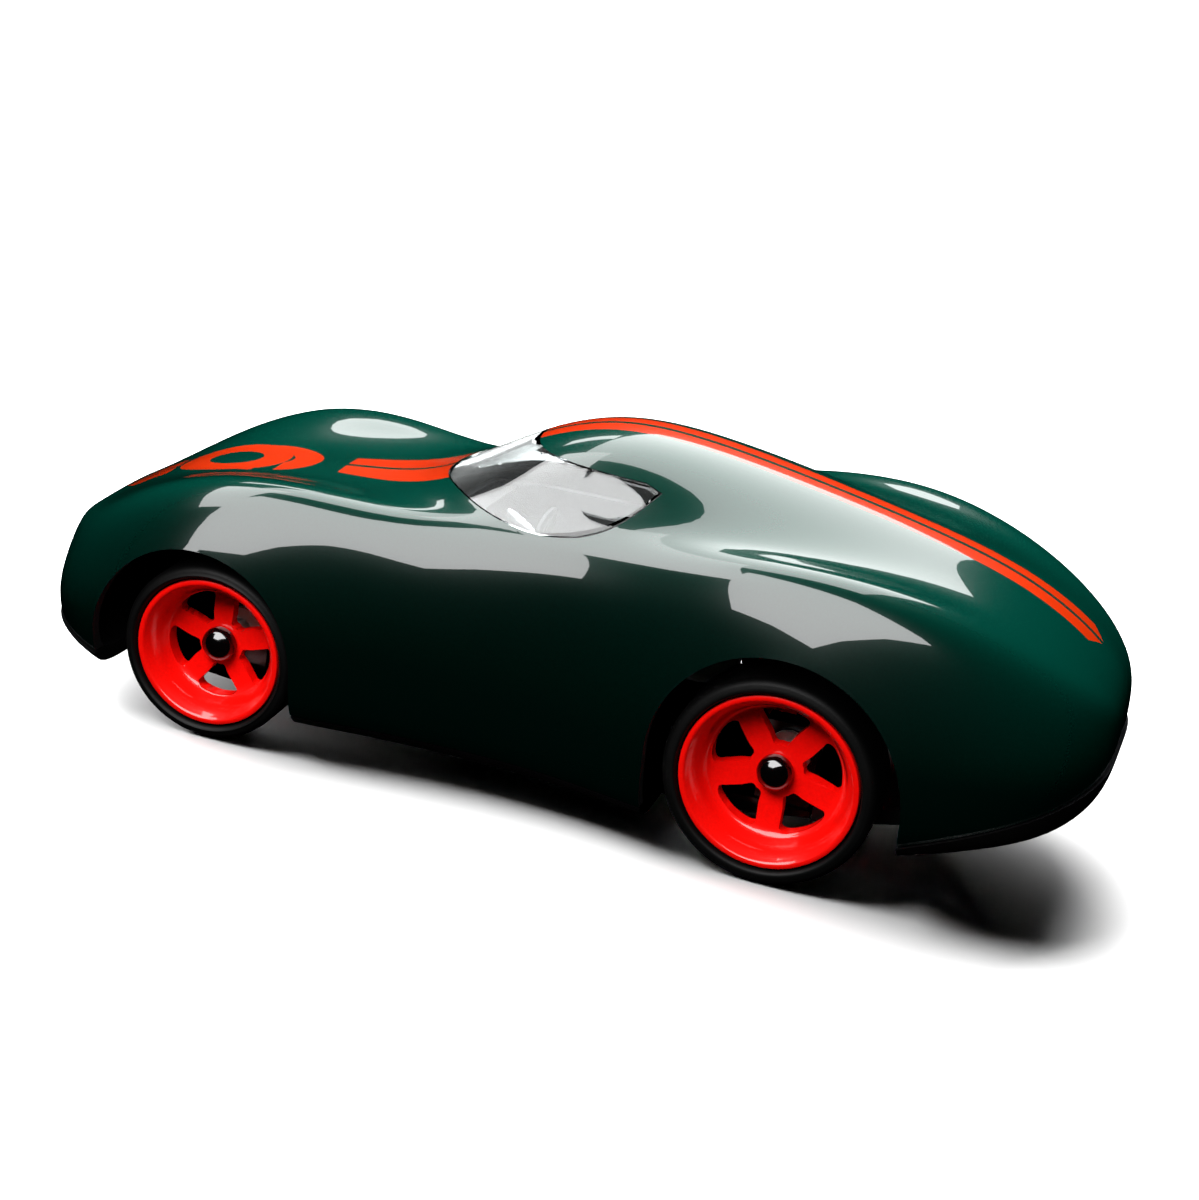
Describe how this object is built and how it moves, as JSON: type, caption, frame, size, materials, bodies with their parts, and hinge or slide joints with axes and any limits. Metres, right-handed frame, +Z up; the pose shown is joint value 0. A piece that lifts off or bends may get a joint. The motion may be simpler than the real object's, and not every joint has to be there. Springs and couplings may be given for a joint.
{
  "type": "diecast collector car",
  "caption": "Streamlined two-seat vintage racing coupe in miniature, with wrap-round glazing and spoked wheels that roll.",
  "frame": {"origin": "on the ground under the middle of the car's bounding box", "axes": "+X to the nose, +Y to the car's left, +Z up"},
  "size_m": [0.1784, 0.0708, 0.0601],
  "materials": {
    "green_paint": "high gloss racing green enamel under clear lacquer, with orange stripes",
    "smoked_clear": "clear smoked plastic with polished edges",
    "black_plastic": "satin black moulded plastic",
    "trim_black": "fine grained black plastic",
    "steel": "drawn bright steel",
    "nylon": "natural nylon",
    "red_rim": "gloss orange-red",
    "tyre_rubber": "matt black rubber",
    "gloss_black": "mirror gloss black"
  },
  "bodies": {
    "car_body": {"body_shell": "green_paint", "glazing": "smoked_clear", "base_pan": "black_plastic", "front_lip": "black_plastic", "rear_valance": "black_plastic", "cockpit_tub": "trim_black", "seat_left": "trim_black", "seat_right": "trim_black", "dashboard": "trim_black", "steering_column": "steel", "steering_wheel": "trim_black", "screw_front_left": "steel", "screw_front_right": "steel", "screw_rear_left": "steel", "screw_rear_right": "steel", "front_bush_left": "nylon", "front_bush_right": "nylon", "rear_bush_left": "nylon", "rear_bush_right": "nylon"},
    "front_wheels": {"front_axle": "steel", "front_rim_left": "red_rim", "front_rim_right": "red_rim", "front_tyre_left": "tyre_rubber", "front_tyre_right": "tyre_rubber", "front_hub_cap_left": "gloss_black", "front_hub_cap_right": "gloss_black"},
    "rear_wheels": {"rear_axle": "steel", "rear_rim_left": "red_rim", "rear_rim_right": "red_rim", "rear_tyre_left": "tyre_rubber", "rear_tyre_right": "tyre_rubber", "rear_hub_cap_left": "gloss_black", "rear_hub_cap_right": "gloss_black"}
  },
  "joints": [
    {"name": "front_axle_spin", "type": "hinge", "parent": "car_body", "child": "front_wheels", "pos_m": [0.055, 0, 0.0149], "axis": [0, 1, 0], "continuous": true},
    {"name": "rear_axle_spin", "type": "hinge", "parent": "car_body", "child": "rear_wheels", "pos_m": [-0.04, 0, 0.0171], "axis": [0, 1, 0], "continuous": true}
  ]
}
